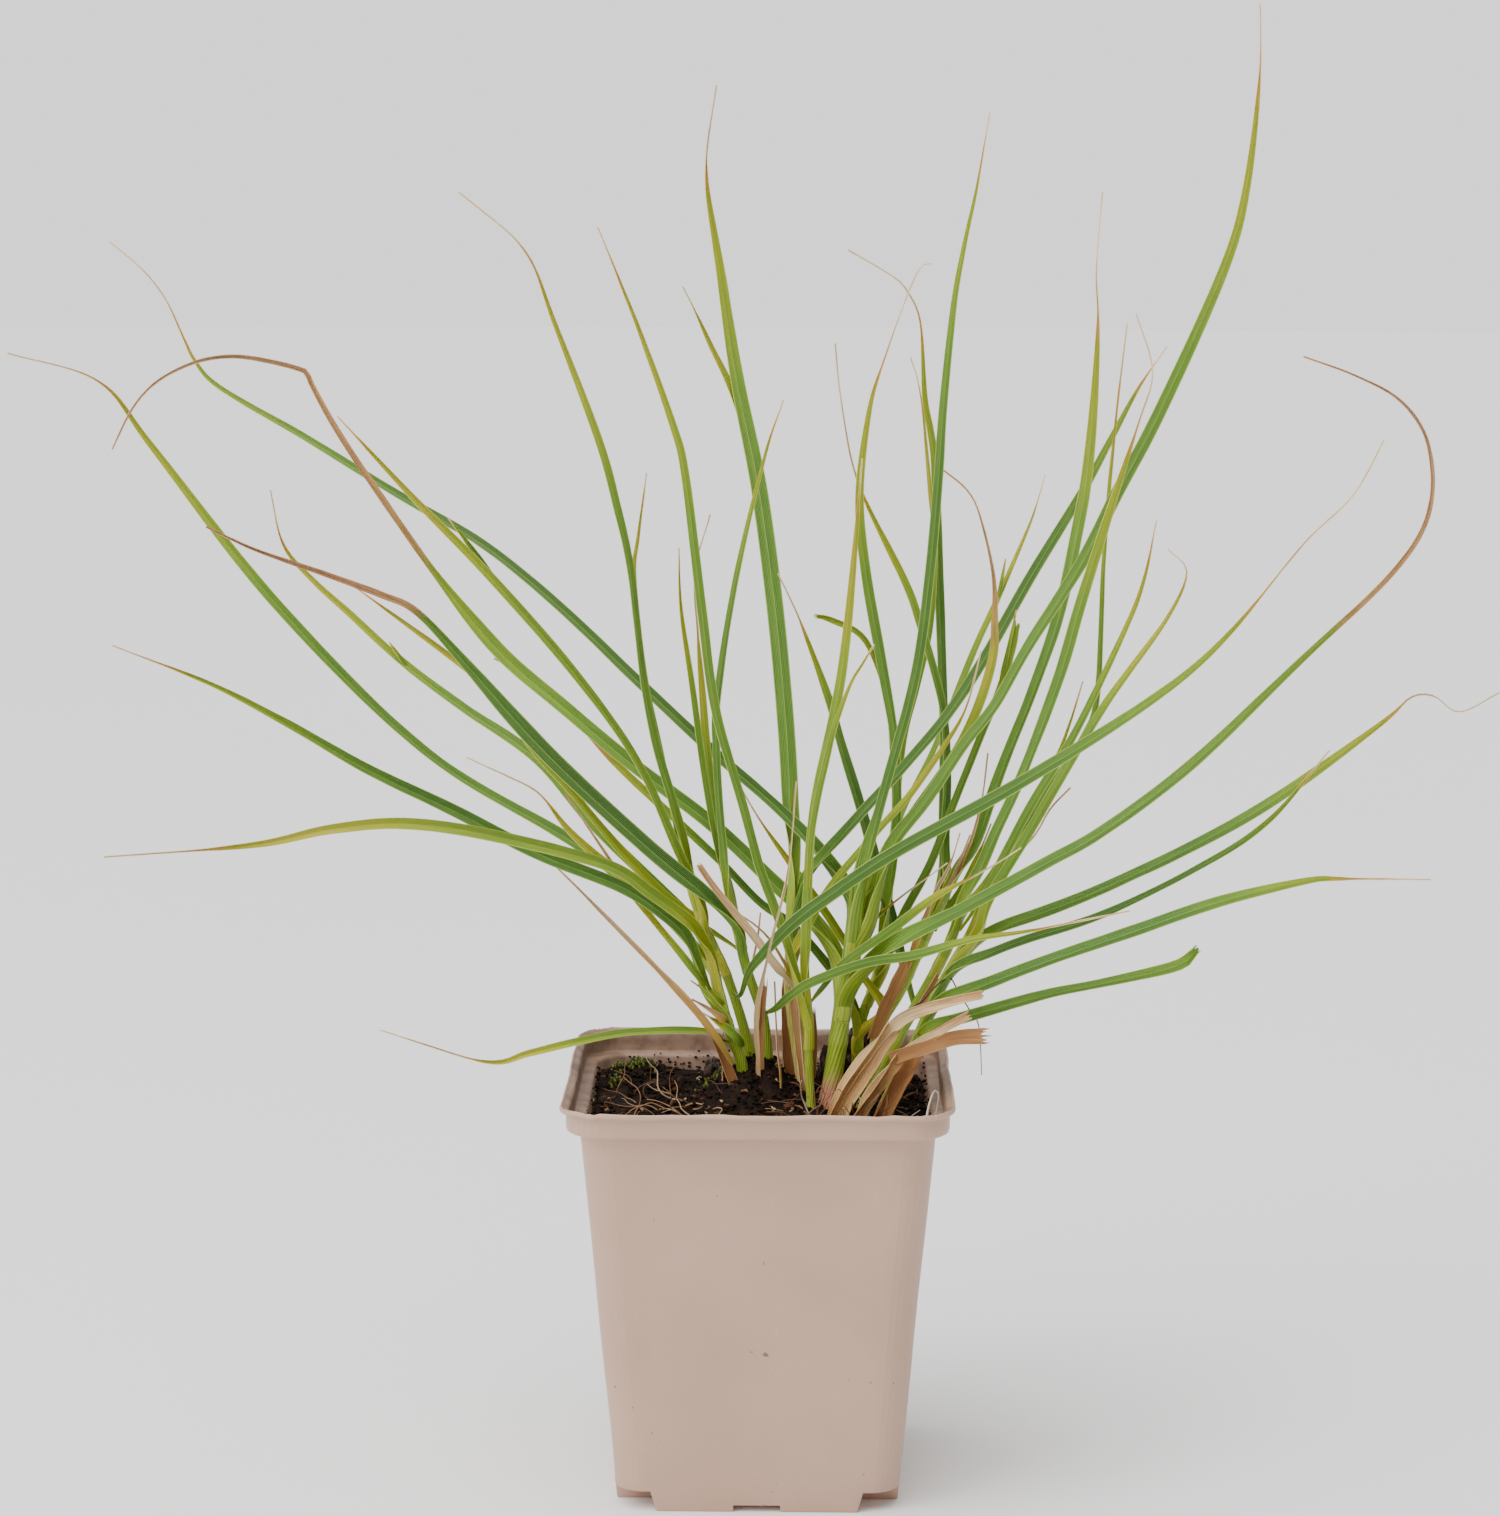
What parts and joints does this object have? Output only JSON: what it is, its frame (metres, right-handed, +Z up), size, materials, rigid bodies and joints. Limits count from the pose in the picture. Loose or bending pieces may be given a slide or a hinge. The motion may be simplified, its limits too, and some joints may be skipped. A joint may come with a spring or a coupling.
{
  "type": "potted ornamental grass clump",
  "caption": "Clump of arching grass blades on thin stems, growing from compost in a small square tapered nursery pot with a stepped rim and notched foot",
  "frame": {"origin": "middle of the pot's foot, on the surface it stands on", "axes": "+X to the right seen from the front, +Y away from the front, +Z up"},
  "size_m": [0.3598, 0.1684, 0.3502],
  "materials": {
    "pot_plastic": "smooth taupe thermoformed plastic",
    "compost": "moist dark peat compost with fibres",
    "green_stem": "fresh green grass stem",
    "green_leaf": "fresh ribbed grass leaf with a dry tip",
    "dry_leaf": "dry papery leaf sheath"
  },
  "bodies": {
    "root": {"compost": "compost", "dry_blade_1": "dry_leaf", "dry_blade_2": "dry_leaf", "dry_blade_3": "dry_leaf", "dry_blade_4": "dry_leaf", "left_blade_1": "green_leaf", "left_blade_10": "green_leaf", "left_blade_11": "green_leaf", "left_blade_2": "green_leaf", "left_blade_3": "green_leaf", "left_blade_4": "green_leaf", "left_blade_5": "green_leaf", "left_blade_6": "green_leaf", "left_blade_7": "green_leaf", "left_blade_8": "green_leaf", "left_blade_9": "green_leaf", "pot": "pot_plastic", "right_blade_1": "green_leaf", "right_blade_10": "green_leaf", "right_blade_11": "green_leaf", "right_blade_12": "green_leaf", "right_blade_13": "green_leaf", "right_blade_14": "green_leaf", "right_blade_15": "green_leaf", "right_blade_16": "green_leaf", "right_blade_17": "green_leaf", "right_blade_18": "green_leaf", "right_blade_19": "green_leaf", "right_blade_2": "green_leaf", "right_blade_20": "green_leaf", "right_blade_3": "green_leaf", "right_blade_4": "green_leaf", "right_blade_5": "green_leaf", "right_blade_6": "green_leaf", "right_blade_7": "green_leaf", "right_blade_8": "green_leaf", "right_blade_9": "green_leaf", "sheath_centre": "dry_leaf", "stem_centre": "green_stem", "stem_left_back": "green_stem", "stem_left_front": "green_stem", "stem_left_middle": "green_stem", "stem_right_middle": "green_stem", "stem_right_outer": "green_stem", "stem_right_rear": "green_stem", "stem_right_thick": "green_stem", "stem_right_upper": "green_stem", "upper_blade_1": "green_leaf", "upper_blade_10": "green_leaf", "upper_blade_11": "green_leaf", "upper_blade_12": "green_leaf", "upper_blade_13": "green_leaf", "upper_blade_2": "green_leaf", "upper_blade_3": "green_leaf", "upper_blade_4": "green_leaf", "upper_blade_5": "green_leaf", "upper_blade_6": "green_leaf", "upper_blade_7": "green_leaf", "upper_blade_8": "green_leaf", "upper_blade_9": "green_leaf"}
  },
  "joints": []
}
